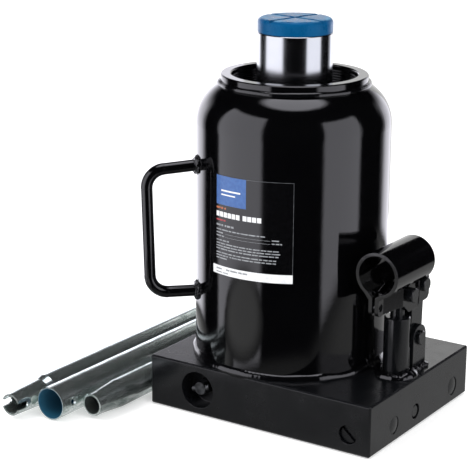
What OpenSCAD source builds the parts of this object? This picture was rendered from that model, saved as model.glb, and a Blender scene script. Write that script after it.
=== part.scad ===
// Hydraulic bottle jack: base block, welded oil reservoir, ram with saddle, hand pump with its
// lever socket and link, release valve, carry handle, and a three-piece pump handle laid beside it.
// Origin: ram axis on the underside of the base. +X runs towards the pump, -Y is the side with
// the release valve, +Z is up. Millimetres.

/* [Base block] */
// Distance from the ram axis to the end away from the pump
base_left = 80; // [79:1:90]
// Distance from the ram axis to the pump end
base_right = 114.5; // [114:0.5:125]
// Distance from the ram axis to the release valve face
base_front = 76.5; // [76:0.5:90]
// Distance from the ram axis to the back face
base_back = 82.5; // [80:0.5:95]
// Height of the base block
base_h = 39.7; // [38:0.1:44]
// Chamfer along the edges of the base block
base_chamfer = 1.2; // [0.5:0.1:2]

/* [Reservoir] */
// Outer radius of the oil reservoir
tank_r = 74.25; // [73:0.25:75]
// Wall of the reservoir
tank_wall = 4.5; // [3:0.5:6]
// Height at which the shoulder starts to curve in
shoulder_z = 221.3; // [218:0.1:224]
// Outer bend radius of the shoulder
shoulder_bend = 33; // [30:1:34]
// Outer radius of the threaded head collar
collar_r = 55.95; // [55:0.05:57]
// Bore radius of the head collar
collar_bore_r = 47.65; // [47:0.05:49]
// Top of the head collar
collar_top_z = 258.2; // [256:0.1:262]

/* [Ram and saddle] */
// Radius of the ram
ram_r = 28.6; // [26:0.1:30]
// Bore radius of the pressure cylinder
cylinder_bore_r = 38; // [36:0.5:40]
// Outer radius of the pressure cylinder
cylinder_r = 46; // [44:0.5:47]
// Height of the top of the ram, where the saddle starts
ram_top_z = 289.4; // [285:0.1:292]
// Closed height of the jack, at the top of the saddle
closed_h = 300; // [298:1:305]
// Turn of the crossed grooves in the saddle
saddle_turn = -11; // [-45:1:45]

/* [Pump and lever] */
// Distance of the pump from the ram axis, towards the pump end
pump_x = 96.4; // [96:0.1:98]
// Position of the pump along Y
pump_y = -5.2; // [-6:0.1:-4]
// Outer radius of the pump cylinder
pump_r = 9.85; // [9:0.05:10]
// Radius of the pump plunger
plunger_r = 5.4; // [4:0.1:6]
// Top of the pump cylinder
pump_top_z = 85.5; // [80:0.5:85.5]
// Radius of the three linkage pins
pin_r = 5.5; // [4.5:0.1:5.6]
// Height of the plunger pin
plunger_pin_z = 103.9; // [103:0.1:104.5]
// Position of the lever's fulcrum pin along Y
fulcrum_y = 15.8; // [15:0.1:17]
// Height of the fulcrum pin
fulcrum_z = 106.9; // [106:0.1:108]
// Position of the lug pin along Y
lug_pin_y = 14.3; // [14:0.1:15]
// Height of the lug pin
lug_pin_z = 64.6; // [63:0.1:66]
// Outer radius of the lever socket's tube
socket_r = 17.3; // [17:0.1:18]
// Inner radius of the lever socket's mouth
socket_bore_r = 14.7; // [14:0.1:15]
// Height of the lever socket's tube axis
socket_z = 125.3; // [125:0.1:126]

/* [Carry handle] */
// Radius of the carry handle's rod
handle_rod_r = 4.5; // [4:0.1:5]
// Bend radius at the rod's centre line
handle_bend = 14; // [10:1:16]
// Direction of the carry handle from the ram axis
handle_azimuth = -135; // [-150:1:-120]

/* [Pump handle tubes] */
// Outer radius of the key tube
key_tube_r = 11.7; // [11:0.1:12]
// Outer radius of the middle tube
middle_tube_r = 13; // [12.5:0.1:13.1]
// Outer radius of the end tube
end_tube_r = 11.1; // [11:0.1:11.3]
// Length of each handle tube
handle_tube_len = 380; // [300:10:400]
// Direction in which the three loose tubes lie
handle_tubes_azimuth = 89.2; // [88.5:0.1:90]

/* [Hidden] */

$fn = 64;
fine = 128;               // facets of the large round parts
cut = 1;                  // how far a cutter runs past the face it cuts
running_fit = 0.05;       // radial clearance of a running fit
weld_gap = 0.1;           // gap between a weld and the part it lies against

// oil passages in the base
chamber_floor_z = 24;
gasket_t = 2;
suction_y = -39.5;
suction_z = 13.6;
suction_hole_x = 52;
delivery_z = 13.1;
delivery_x = 28;
relief_x = 30;
relief_y = 56.8;
relief_z = 13.4;
pump_passage_z = 14.5;
ball_r = 2.4;
seat_hole_r = 1.3;
ball_rise = sqrt(ball_r * ball_r - seat_hole_r * seat_hole_r) + 0.08;
delivery_seat_z = 17.5;
delivery_cage_z = 23;
relief_seat_z = 20;
relief_screw_z = 31;
valve_bore_r = 3.5;
suction_seat_y = -30;
suction_step_y = -20;

// plugs that close the drillings: radius, how deep the face sits (negative stands proud), thickness
front_plug_r = 7.4;
front_plug_sink = 2.4;
suction_plug_r = 7;
suction_plug_sink = -0.35;
delivery_plug_r = 6;
delivery_plug_sink = 0.6;
relief_plug_r = 7.5;
relief_plug_sink = -0.35;
plug_t = 5;

// release valve
release_x = -36;
release_z = 19.8;
recess_r = 14.5;
recess_depth = 15;
release_thread_r = 6;
release_thread_end_y = -52;
release_seat_y = -32;
release_chamber_r = 4.5;
release_head_y = -73.2;
stem_r = 5.2;
release_seal_depth = 1.6;
release_seal_t = 2.4;
cross_pin_r = 2.6;
cross_pin_half = 7.8;
cross_pin_turn = 15;       // the end towards the pump stands higher
cross_pin_back = 2.9;      // from the stem's face to the cross pin

// head
cylinder_foot_z = chamber_floor_z + gasket_t;
saddle_stud_r = 12;
saddle_stud_len = 12;
gland_z = 226;
gland_t = 14;
collar_foot_z = gland_z - 4;
wiper_r = 34;
bush_r = 32;
gland_seal_r = cylinder_bore_r + 2;
piston_z = 27.5;
piston_t = 18;
piston_r = cylinder_bore_r - running_fit;
piston_spigot_r = 22;
seal_gland_z = piston_z + 3;
seal_gland_t = 6;
wear_gland_z = piston_z + 12;
wear_gland_t = 4;
wiper_t = 6;
gland_seal_t = 2;

// linkage plates, across X from the pump's centre plane
ear_in = 6.6;
ear_out = 9.6;
rear_step = 0.6;
eye_half_t = 5.5;
link_half_t = 6.2;
lug_in = 6.4;
lug_out = 9.5;
eye_r = 8.4;
link_r = 9;
lug_r = 10;
pump_bead = 6.6;
slot_front = 0.9;
slot_back = 1.7;
slot_clear = 0.6;
socket_front_y = -39.7;
socket_back_y = 19.1;
socket_step_y = -14;
socket_rear_bore_r = 14.2;
ear_back_y = 25.6;
clamp_y = -35.7;
clamp_z = 100.2;
clamp_r = 2.8;
clip_t = 0.8;
groove_depth = 0.8;
plunger_wiper_r = 7.4;
plunger_wiper_t = 4;
plunger_wiper_z = pump_top_z - 6;
plunger_seal_z = 33;
plunger_seal_t = 3;
plunger_seal_r = plunger_r - 1.2;

// carry handle: heights at which its ends meet the reservoir
handle_top_z = 190.4;
handle_foot_z = 91;

// label: azimuth of its left edge, arc, foot and height
label_left = -110.4;
label_arc = 52.7;
label_foot_z = 115;
label_h = 76.5;
label_t = 0.15;

// oil filler
filler_z = 200;
filler_r = 6;

// loose tubes: tip positions on the floor
key_tip = [-147.3, -164.8];
middle_tip = [-121.9, -148.5];
end_tip = [-97.2, -129.1];
key_wall = 1.5;
middle_wall = 1.2;
end_wall = 1.7;

paint_black = "#17181a";
weld_black = "#101113";
steel = "#b9bcc0";
zinc = "#c9d3d6";
saddle_blue = "#0a6fae";
brass = "#b8954a";
rubber_black = "#222222";
label_black = "#202124";

// ---------- shared shapes ----------

// points of an arc, in degrees
function arc(c, r, a0, a1, n) = [for (i = [0:n]) let (a = a0 + (a1 - a0) * i / n)
    c + r * [cos(a), sin(a)]];

module tube(r_out, r_in, z0, z1) {
    translate([0, 0, z0]) difference() {
        cylinder(r = r_out, h = z1 - z0);
        translate([0, 0, -cut]) cylinder(r = r_in, h = z1 - z0 + 2 * cut);
    }
}

// cylinders along X and Y from a start point
module rod_x(p, r, len) translate(p) rotate([0, 90, 0]) cylinder(r = r, h = len);
module rod_y(p, r, len) translate(p) rotate([-90, 0, 0]) cylinder(r = r, h = len);
module rod_z(p, r, len) translate(p) cylinder(r = r, h = len);

// a plate drawn in Y and Z, standing across X from the pump's centre plane
module yz_plate(x0, x1) {
    translate([pump_x + x0, 0, 0]) rotate([90, 0, 90]) linear_extrude(x1 - x0) children();
}

// a straight bar with round ends between two points, in 2D; its ends stand proud of its sides
module bar_2d(a, b, r) {
    proud = 0.15;
    d = b - a;
    translate(a) rotate(atan2(d[1], d[0])) translate([0, proud - r]) square([norm(d), 2 * (r - proud)]);
    translate(a) circle(r);
    translate(b) circle(r);
}

// open ring clip in the groove of a pin that runs along X, its gap at the top
module pin_clip(x, y, z) {
    inner_r = pin_r - groove_depth;
    outer_r = pin_r + 1;
    gap = 1.9 * inner_r;
    color(steel) translate([pump_x + x, y, z]) rotate([90, 0, 90]) linear_extrude(clip_t) difference() {
        circle(outer_r);
        circle(inner_r);
        translate([-gap / 2, 0]) square([gap, outer_r + cut]);
    }
}

// a pin along X with a groove for its clip near the far end
module linkage_pin(x0, x1, y, z, groove_x) {
    chamfer = 0.6;
    difference() {
        translate([pump_x, y, z]) rotate([90, 0, 90]) rotate_extrude()
            polygon([[0, x0], [pin_r - chamfer, x0], [pin_r, x0 + chamfer], [pin_r, x1 - chamfer],
                [pin_r - chamfer, x1], [0, x1]]);
        translate([pump_x + groove_x, y, z]) rotate([90, 0, 90]) difference() {
            cylinder(r = pin_r + cut, h = clip_t);
            cylinder(r = pin_r - groove_depth, h = clip_t);
        }
    }
}

// coil spring along +Z, as a swept tube
module coil_spring(coil_r, wire_r, len, turns) {
    sides = 6;
    per_turn = 12;
    rings = per_turn * turns;
    centre = [for (i = [0:rings]) let (a = 360 * i / per_turn, h = wire_r + (len - 2 * wire_r) * i / rings)
        [coil_r * cos(a), coil_r * sin(a), h, a]];
    points = [for (c = centre) for (s = [0:sides - 1]) let (b = 360 * s / sides)
        [c[0] + wire_r * cos(b) * cos(c[3]), c[1] + wire_r * cos(b) * sin(c[3]), c[2] + wire_r * sin(b)]];
    faces = [for (i = [0:rings - 1]) for (s = [0:sides - 1]) let (t = (s + 1) % sides)
        [i * sides + s, (i + 1) * sides + s, (i + 1) * sides + t, i * sides + t]];
    polyhedron(concat(points), concat(faces, [[for (s = [0:sides - 1]) s]],
        [[for (s = [sides - 1:-1:0]) rings * sides + s]]));
}

// ---------- base ----------

module chamfered_block(x0, x1, y0, y1, h, c) {
    intersection() {
        linear_extrude(h) polygon([[x0 + c, y0], [x1 - c, y0], [x1, y0 + c], [x1, y1 - c],
            [x1 - c, y1], [x0 + c, y1], [x0, y1 - c], [x0, y0 + c]]);
        translate([0, y1 + cut, 0]) rotate([90, 0, 0]) linear_extrude(y1 - y0 + 2 * cut)
            polygon([[x0 + c, 0], [x1 - c, 0], [x1, c], [x1, h - c], [x1 - c, h], [x0 + c, h],
                [x0, h - c], [x0, c]]);
        translate([x0 - cut, 0, 0]) rotate([90, 0, 90]) linear_extrude(x1 - x0 + 2 * cut)
            polygon([[y0 + c, 0], [y1 - c, 0], [y1, c], [y1, h - c], [y1 - c, h], [y0 + c, h],
                [y0, h - c], [y0, c]]);
    }
}

// the drillings that carry the oil, all in one body
module oil_passages() {
    side = base_right + cut;
    // pump well and the passage along Y under it
    rod_z([pump_x, pump_y, 11], 4, base_h);
    rod_y([pump_x, -base_front - cut, pump_passage_z], valve_bore_r, base_front + cut + suction_step_y);
    rod_y([pump_x, suction_step_y - cut, pump_passage_z], 1.8, relief_y - suction_step_y + 2 * cut);
    // suction line from the reservoir
    rod_x([suction_hole_x, suction_y, suction_z], 3, side - suction_hole_x);
    rod_z([suction_hole_x, suction_y, suction_z], 3, base_h);
    rod_z([suction_hole_x, suction_y, base_h - 3], 6, 3 + cut);
    // delivery line to the ram chamber
    rod_x([delivery_x, pump_y, delivery_z], 2.5, side - delivery_x);
    rod_z([delivery_x, pump_y, delivery_z], seat_hole_r, 8);
    rod_z([delivery_x, pump_y, delivery_seat_z], valve_bore_r, base_h);
    // relief line to the overload valve in the reservoir floor
    rod_x([relief_x, relief_y, relief_z], 2.2, side - relief_x);
    rod_z([relief_x, relief_y, relief_z], seat_hole_r, 8);
    rod_z([relief_x, relief_y, relief_seat_z], valve_bore_r, base_h);
    // drain from the release valve to the reservoir, and its feed from the ram chamber
    rod_y([release_x, release_seat_y - cut, release_z], seat_hole_r, 28);
    rod_z([release_x, release_seat_y + 26, release_z], seat_hole_r, 8);
    rod_z([release_x, -44, release_z], 2, base_h);
}

module base_block() {
    side = base_right + cut;
    color(paint_black) difference() {
        chamfered_block(-base_left, base_right, -base_front, base_back, base_h, base_chamfer);
        rod_z([0, 0, chamber_floor_z], cylinder_r, base_h);
        rod_z([pump_x, pump_y, chamber_floor_z], pump_r, base_h);
        oil_passages();
        rod_y([pump_x, -base_front - cut, pump_passage_z], front_plug_r, cut + front_plug_sink + plug_t);
        rod_x([base_right - suction_plug_sink - plug_t, suction_y, suction_z], suction_plug_r, side);
        rod_x([base_right - delivery_plug_sink - plug_t, pump_y, delivery_z], delivery_plug_r, side);
        rod_x([base_right - relief_plug_sink - plug_t, relief_y, relief_z], relief_plug_r, side);
        // release valve: recess, thread and valve chamber
        rod_y([release_x, -base_front - cut, release_z], recess_r, cut + recess_depth);
        rod_y([release_x, -base_front, release_z], release_thread_r, base_front + release_thread_end_y);
        rod_y([release_x, -base_front, release_z], release_chamber_r, base_front + release_seat_y);
    }
}

// a round plug with a chamfered rim, its face at the origin looking along +Z
module passage_plug(r, rim) {
    rotate_extrude() polygon([[0, -plug_t], [r, -plug_t], [r, -rim], [r - rim, 0], [0, 0]]);
}

// the same plug with a slightly domed face
module domed_plug(r) {
    dome_r = 30;
    intersection() {
        passage_plug(r, 0.3);
        translate([0, 0, -dome_r]) sphere(r = dome_r, $fn = fine);
    }
}

module front_plug() {
    slot = [2 * front_plug_r + cut, 2.2, 3.6];
    slot_turn = -42;
    color(paint_black) translate([pump_x, front_plug_sink - base_front, pump_passage_z]) rotate([90, 0, 0])
        difference() {
            passage_plug(front_plug_r, 0.7);
            rotate(slot_turn) translate([0, 0, -0.4]) cube(slot, center = true);
        }
}

module suction_plug() {
    color(paint_black) translate([base_right - suction_plug_sink, suction_y, suction_z]) rotate([0, 90, 0])
        domed_plug(suction_plug_r);
}

module delivery_plug() {
    color(paint_black) translate([base_right - delivery_plug_sink, pump_y, delivery_z]) rotate([0, 90, 0])
        passage_plug(delivery_plug_r, 1.8);
}

module relief_plug() {
    color(paint_black) translate([base_right - relief_plug_sink, relief_y, relief_z]) rotate([0, 90, 0])
        domed_plug(relief_plug_r);
}

module suction_seat() {
    color(brass) translate([pump_x, suction_seat_y, pump_passage_z]) rotate([90, 0, 0])
        tube(valve_bore_r, seat_hole_r, 0, 3);
}

module suction_ball() {
    color(steel) translate([pump_x, suction_seat_y + ball_rise, pump_passage_z]) sphere(r = ball_r);
}

module suction_spring() {
    spring_y = suction_seat_y + ball_rise + ball_r + 0.3;
    color(steel) translate([pump_x, spring_y, pump_passage_z]) rotate([-90, 0, 0])
        coil_spring(2.2, 0.35, suction_step_y - spring_y - 0.1, 4);
}

// wire-gauze cup over the suction hole, drawn as a drilled disc
module suction_strainer() {
    hole_r = 0.6;
    hole_at = 1.9;
    color(steel) translate([suction_hole_x, suction_y, base_h - 3]) difference() {
        cylinder(r = 6, h = 1.5);
        for (a = [0:60:300]) rod_z([hole_at * cos(a), hole_at * sin(a), -cut], hole_r, 4);
    }
}

module delivery_ball() {
    color(steel) translate([delivery_x, pump_y, delivery_seat_z + ball_rise]) sphere(r = ball_r);
}

module ball_cage() {
    color(brass) translate([delivery_x, pump_y, 0])
        tube(valve_bore_r, seat_hole_r, delivery_cage_z, chamber_floor_z);
}

module overload_ball() {
    color(steel) translate([relief_x, relief_y, relief_seat_z + ball_rise]) sphere(r = ball_r);
}

module overload_spring() {
    spring_z = relief_seat_z + ball_rise + ball_r + 0.3;
    color(steel) translate([relief_x, relief_y, spring_z])
        coil_spring(2.3, 0.5, relief_screw_z - spring_z - 0.1, 4);
}

module overload_screw() {
    color(steel) difference() {
        rod_z([relief_x, relief_y, relief_screw_z], valve_bore_r, 6);
        rod_z([relief_x, relief_y, relief_screw_z - cut], 1, 8);
        translate([relief_x, relief_y, relief_screw_z + 6])
            cube([2 * valve_bore_r + cut, 1.2, 2.4], center = true);
    }
}

// ---------- reservoir and head ----------

// right half of a solid with a rounded shoulder
module shoulder_2d(r, bend) {
    translate([0, base_h]) square([r, shoulder_z - base_h]);
    translate([0, base_h]) square([r - bend, shoulder_z - base_h + bend]);
    intersection() {
        translate([r - bend, shoulder_z]) circle(bend, $fn = fine);
        translate([0, base_h]) square([r, shoulder_z]);
    }
}

module reservoir_tank() {
    color(paint_black) difference() {
        rotate_extrude($fn = fine) difference() {
            shoulder_2d(tank_r, shoulder_bend);
            shoulder_2d(tank_r - tank_wall, shoulder_bend - tank_wall);
            translate([0, base_h]) square([collar_r, shoulder_z]);
        }
        rod_y([0, tank_r - 3 * tank_wall, filler_z], filler_r, 4 * tank_wall);
    }
}

module tank_weld() {
    bead = 5;
    color(weld_black) rotate_extrude($fn = fine) difference() {
        translate([tank_r - 2.6, base_h]) circle(bead);
        square([tank_r, 2 * base_h]);
        translate([0, base_h - 2 * bead]) square([2 * tank_r, 2 * bead]);
    }
}

module head_collar() {
    edge = 0.8;
    thread_pitch = 2;
    thread_depth = 0.6;
    color(paint_black) difference() {
        tube(collar_r, collar_bore_r, collar_foot_z, collar_top_z);
        // broken outer and inner top edges
        translate([0, 0, collar_top_z]) rotate_extrude($fn = fine)
            for (side = [[collar_r, 1], [collar_bore_r, -1]])
                polygon([[side[0] + side[1] * cut, -edge - cut], [side[0] + side[1] * cut, cut],
                    [side[0] - side[1] * (edge + cut), cut]]);
        // last turns of the thread, as rings
        for (z = [gland_z + gland_t + 2:thread_pitch:collar_top_z - 3])
            translate([0, 0, z]) rotate_extrude($fn = fine) polygon([[collar_bore_r - cut, -0.9],
                [collar_bore_r + thread_depth, 0], [collar_bore_r - cut, 0.9]]);
    }
}

module collar_weld() {
    color(weld_black) rotate_extrude($fn = fine) difference() {
        translate([collar_r + 0.4, shoulder_z + 29.9]) circle(3.2);
        square([collar_r, 2 * shoulder_z]);
        shoulder_2d(tank_r, shoulder_bend);
    }
}

module pressure_cylinder() {
    color(steel) tube(cylinder_r, cylinder_bore_r, cylinder_foot_z, gland_z);
}

module cylinder_gasket() {
    color(brass) tube(cylinder_r, cylinder_bore_r, chamber_floor_z, cylinder_foot_z);
}

module gland_nut() {
    spanner_at = 41;
    spanner_depth = 6;
    color(steel) difference() {
        tube(collar_bore_r, ram_r + running_fit, gland_z, gland_z + gland_t);
        // seats of the guide bush and the wiper
        rod_z([0, 0, gland_z - cut], bush_r, wiper_t + cut);
        rod_z([0, 0, gland_z + gland_t - wiper_t], wiper_r, wiper_t + cut);
        // seat of the seal that rests on the cylinder
        tube(cylinder_r, gland_seal_r, gland_z - cut, gland_z + gland_seal_t);
        // holes for the pin spanner
        for (a = [20:90:290]) rotate(a)
            rod_z([spanner_at, 0, gland_z + gland_t - spanner_depth], 3, spanner_depth + cut);
    }
}

module gland_seal() {
    color(rubber_black) tube(cylinder_r, gland_seal_r, gland_z, gland_z + gland_seal_t);
}

module ram_guide_bush() {
    color(brass) tube(bush_r, ram_r + running_fit, gland_z, gland_z + wiper_t);
}

module ram_wiper() {
    color(rubber_black) tube(wiper_r, ram_r + running_fit, gland_z + gland_t - wiper_t, gland_z + gland_t);
}

// ---------- ram ----------

module ram() {
    edge = 0.6;
    color(steel) difference() {
        rotate_extrude($fn = fine) polygon([[0, piston_z], [piston_spigot_r, piston_z],
            [piston_spigot_r, piston_z + piston_t], [ram_r, piston_z + piston_t], [ram_r, ram_top_z - edge],
            [ram_r - edge, ram_top_z], [0, ram_top_z]]);
        rod_z([0, 0, ram_top_z - saddle_stud_len - 2], saddle_stud_r, saddle_stud_len + 2 + cut);
    }
}

module ram_piston() {
    color(steel) difference() {
        tube(piston_r, piston_spigot_r, piston_z, piston_z + piston_t);
        tube(piston_r + cut, piston_r - 5, seal_gland_z, seal_gland_z + seal_gland_t);
        tube(piston_r + cut, piston_r - 2, wear_gland_z, wear_gland_z + wear_gland_t);
    }
}

module piston_seal() {
    color(rubber_black) tube(piston_r, piston_r - 5, seal_gland_z, seal_gland_z + seal_gland_t);
}

module piston_wear_ring() {
    color(brass) tube(piston_r, piston_r - 2, wear_gland_z, wear_gland_z + wear_gland_t);
}

module saddle() {
    side_r = ram_r - 0.2;
    edge = 3.6;
    groove_r = 2.2;
    foot_gap = 0.5;
    color(saddle_blue) difference() {
        rotate_extrude($fn = fine) union() {
            translate([0, ram_top_z - saddle_stud_len]) square([saddle_stud_r, saddle_stud_len + 1]);
            translate([0, ram_top_z]) square([side_r - foot_gap, 1]);
            translate([0, ram_top_z + foot_gap]) square([side_r, closed_h - ram_top_z - foot_gap - edge]);
            translate([0, ram_top_z + foot_gap]) square([side_r - edge, closed_h - ram_top_z - foot_gap]);
            translate([side_r - edge, closed_h - edge]) circle(edge);
        }
        // crossed grooves that keep the load from sliding
        for (a = [0, 90]) rotate(saddle_turn + a)
            rod_x([-ram_r - cut, 0, closed_h + 0.3], groove_r, 2 * ram_r + 2 * cut);
    }
}

// ---------- pump ----------

module pump_cylinder() {
    edge = 0.8;
    color(paint_black) translate([pump_x, pump_y, 0]) difference() {
        rotate_extrude() polygon([[plunger_r + running_fit, cylinder_foot_z], [pump_r, cylinder_foot_z],
            [pump_r, pump_top_z - edge], [pump_r - edge, pump_top_z], [plunger_r + running_fit, pump_top_z]]);
        tube(plunger_wiper_r, plunger_r - cut, plunger_wiper_z, plunger_wiper_z + plunger_wiper_t);
    }
}

module pump_weld() {
    color(weld_black) difference() {
        translate([pump_x, pump_y, 0]) rotate_extrude() difference() {
            translate([pump_r, base_h]) circle(pump_bead);
            square([pump_r, 2 * base_h]);
            translate([0, base_h - 2 * pump_bead]) square([2 * pump_r + pump_bead, 2 * pump_bead]);
        }
        // the two lugs stand in it
        for (x = [-lug_out, lug_in])
            translate([pump_x + x - weld_gap, lug_pin_y - lug_r - weld_gap, base_h - cut])
                cube([lug_out - lug_in + 2 * weld_gap, 2 * lug_r, 2 * pump_bead]);
    }
}

module pump_washer() {
    color(brass) translate([pump_x, pump_y, 0]) tube(pump_r, plunger_r + 1, chamber_floor_z, cylinder_foot_z);
}

module plunger_wiper() {
    color(rubber_black) translate([pump_x, pump_y, 0])
        tube(plunger_wiper_r, plunger_r + running_fit, plunger_wiper_z, plunger_wiper_z + plunger_wiper_t);
}

module plunger() {
    eye_a = [pump_y - slot_front, plunger_pin_z];
    eye_b = [pump_y + slot_back, plunger_pin_z];
    foot_z = 31;
    color(steel) difference() {
        union() {
            rod_z([pump_x, pump_y, foot_z], plunger_r, plunger_pin_z - foot_z - pin_r);
            yz_plate(-eye_half_t, eye_half_t) bar_2d(eye_a, eye_b, eye_r);
        }
        yz_plate(-eye_half_t - cut, eye_half_t + cut) bar_2d(eye_a, eye_b, pin_r + slot_clear);
        translate([pump_x, pump_y, 0])
            tube(plunger_r + cut, plunger_seal_r, plunger_seal_z, plunger_seal_z + plunger_seal_t);
    }
}

module plunger_seal() {
    color(rubber_black) translate([pump_x, pump_y, 0])
        tube(plunger_r + 0.03, plunger_seal_r, plunger_seal_z, plunger_seal_z + plunger_seal_t);
}

// ---------- link ----------

module link_lugs() {
    color(paint_black) for (x = [-lug_out, lug_in]) yz_plate(x, x + lug_out - lug_in) difference() {
        union() {
            translate([lug_pin_y - lug_r, base_h]) square([2 * lug_r, lug_pin_z - base_h]);
            translate([lug_pin_y, lug_pin_z]) circle(lug_r);
        }
        translate([lug_pin_y, lug_pin_z]) circle(pin_r);
    }
}

// fillet welds along the feet of the two lugs
module lug_weld() {
    bead = 4.2;
    y0 = lug_pin_y - lug_r;
    len = 2 * lug_r;
    plate = lug_out - lug_in;
    color(weld_black) for (x = [-lug_out, lug_in]) difference() {
        union() {
            for (dx = [0, plate]) rod_y([pump_x + x + dx, y0, base_h], bead, len);
            for (dy = [0, len]) rod_x([pump_x + x, y0 + dy, base_h], bead, plate);
            for (dx = [0, plate], dy = [0, len])
                translate([pump_x + x + dx, y0 + dy, base_h]) sphere(r = bead);
        }
        translate([pump_x + x, y0, base_h - 2 * bead]) cube([plate, len, 6 * bead]);
        translate([pump_x - 50, y0 - 20, base_h - 2 * bead]) cube([100, len + 40, 2 * bead]);
        translate([pump_x, pump_y, base_h]) cylinder(r = pump_r + pump_bead + 3 * weld_gap, h = 20);
    }
}

module lug_pin() {
    color(paint_black) linkage_pin(-12, 12, lug_pin_y, lug_pin_z, -11);
}

module lug_pin_clip() {
    pin_clip(-11, lug_pin_y, lug_pin_z);
}

module link_bar() {
    a = [lug_pin_y, lug_pin_z];
    b = [fulcrum_y, fulcrum_z];
    color(paint_black) yz_plate(-link_half_t, link_half_t) difference() {
        bar_2d(a, b, link_r);
        for (p = [a, b]) translate(p) circle(pin_r + running_fit);
    }
}

// ---------- lever socket ----------

// plan of one ear: pinched at the mouth, spread at the plunger, stepped out at the link
module ear_plan(inner, outer, side) {
    polygon([[inner, socket_front_y], [outer, socket_front_y], [outer, -32], [side * ear_out, -15.5],
        [side * ear_out, 8.6], [side * (ear_out + rear_step), 9.6],
        [side * (ear_out + rear_step), ear_back_y],
        [side * (ear_in + rear_step), ear_back_y], [side * (ear_in + rear_step), 10.4], [side * ear_in, 9.2],
        [side * ear_in, -14], [inner, -30.5]]);
}

// side view of an ear, in Y and Z
module ear_side() {
    polygon(concat(
        [[socket_front_y, socket_z]],
        arc([socket_front_y + 3.5, 97.2], 3.5, 180, 270, 5),
        [[-29, 94.5], [-20, 96.6]],
        arc([-14.6, 94.6], 2.4, 120, 40, 4),
        arc([-4.4, 94.2], 3.9, 220, 270, 4),
        arc([6, 93.8], 3.5, 270, 340, 4),
        [[11, 93.6]],
        arc([ear_back_y - 5, 98.6], 5, 270, 360, 6),
        [[ear_back_y, 109], [23.4, 113.6], [socket_back_y, 116], [socket_back_y, socket_z]]));
}

// the space between the two ears
module ear_gap_plan(inner_far, inner_near) {
    rear = ear_in + rear_step;
    polygon([[inner_far, socket_front_y - cut], [inner_near, socket_front_y - cut], [inner_near, -30.5],
        [ear_in, -14], [ear_in, 9.2], [rear, 10.4], [rear, ear_back_y + cut], [-rear, ear_back_y + cut],
        [-rear, 10.4], [-ear_in, 9.2], [-ear_in, -14], [inner_far, -30.5]]);
}

// stretch of the mouth where the rolled tube runs down into the pinched plates, seen along Y
module mouth_fold(outline) {
    fold_len = 5;
    translate([pump_x, socket_front_y + fold_len, socket_z]) rotate([90, 0, 0])
        linear_extrude(fold_len + cut) polygon(outline);
}

module lever_socket() {
    near_in = -1;
    far_in = -3.2;
    plate = 3;
    tube_len = socket_back_y - socket_front_y;
    fold_outside = [[-14, -9.6], [far_in - plate, -19], [near_in + plate, -19], [13.3, -10.6], [0, 0]];
    fold_inside = [[-11.2, -8.9], [far_in, -17], [near_in, -17], [10.6, -9.6], [0, 0]];
    color(paint_black) difference() {
        union() {
            rod_y([pump_x, socket_front_y, socket_z], socket_r, tube_len);
            intersection() {
                translate([pump_x, 0, 80]) linear_extrude(socket_z - 80) union() {
                    ear_plan(near_in, near_in + plate, 1);
                    ear_plan(far_in, far_in - plate, -1);
                }
                yz_plate(-20, 20) ear_side();
            }
            intersection() {
                mouth_fold(fold_outside);
                rod_y([pump_x, socket_front_y, socket_z], 2 * socket_r, tube_len);
            }
        }
        mouth_fold(fold_inside);
        rod_y([pump_x, socket_front_y - cut, socket_z], socket_bore_r, socket_step_y - socket_front_y + cut);
        rod_y([pump_x, socket_step_y - cut, socket_z], socket_rear_bore_r, 60);
        translate([pump_x, 0, 80]) linear_extrude(socket_z - 80) ear_gap_plan(far_in, near_in);
        rod_x([pump_x - 30, pump_y, plunger_pin_z], pin_r, 60);
        rod_x([pump_x - 30, fulcrum_y, fulcrum_z], pin_r, 60);
        rod_x([pump_x - 30, clamp_y, clamp_z], clamp_r, 60);
    }
}

// socket screw sunk in the two pinched plates
module clamp_screw() {
    key_r = 1.6;
    color(steel) translate([pump_x, clamp_y, clamp_z]) rotate([0, 90, 0]) difference() {
        translate([0, 0, -6.2]) cylinder(r = clamp_r, h = 7.4);
        translate([0, 0, -1]) cylinder(r = key_r, h = 3, $fn = 6);
    }
}

module plunger_pin() {
    color(paint_black) linkage_pin(-12.4, 14.5, pump_y, plunger_pin_z, -11.2);
}

module plunger_pin_clip() {
    pin_clip(-11.2, pump_y, plunger_pin_z);
}

module fulcrum_pin() {
    color(paint_black) linkage_pin(-13, 13.7, fulcrum_y, fulcrum_z, -11.9);
}

module fulcrum_pin_clip() {
    pin_clip(-11.9, fulcrum_y, fulcrum_z);
}

// ---------- release valve ----------

module release_valve() {
    thread_r = release_thread_r - running_fit;
    nose_r = 3.2;
    edge = 0.5;
    front = -base_front + recess_depth;
    color(steel) translate([release_x, 0, release_z]) rotate([-90, 0, 0]) difference() {
        rotate_extrude() polygon([[0, release_head_y], [stem_r - edge, release_head_y],
            [stem_r, release_head_y + edge], [stem_r, front + edge], [thread_r, front + 2 * edge],
            [thread_r, release_thread_end_y - 1], [nose_r, release_thread_end_y],
            [nose_r, release_seat_y - 4], [0.9, release_seat_y - 0.6], [0, release_seat_y - 0.6]]);
        tube(thread_r + cut, thread_r - release_seal_depth, front + 3, front + 3 + release_seal_t);
        translate([0, 0, release_head_y + cross_pin_back]) rotate(-cross_pin_turn) rotate([0, 90, 0])
            cylinder(r = cross_pin_r, h = 4 * stem_r, center = true);
    }
}

module release_cross_pin() {
    color(steel) translate([release_x, release_head_y + cross_pin_back, release_z])
        rotate([0, 90 - cross_pin_turn, 0]) cylinder(r = cross_pin_r, h = 2 * cross_pin_half, center = true);
}

module release_seal() {
    thread_r = release_thread_r - running_fit;
    front = -base_front + recess_depth;
    color(rubber_black) translate([release_x, 0, release_z]) rotate([-90, 0, 0])
        tube(thread_r, thread_r - release_seal_depth, front + 3, front + 3 + release_seal_t);
}

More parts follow.
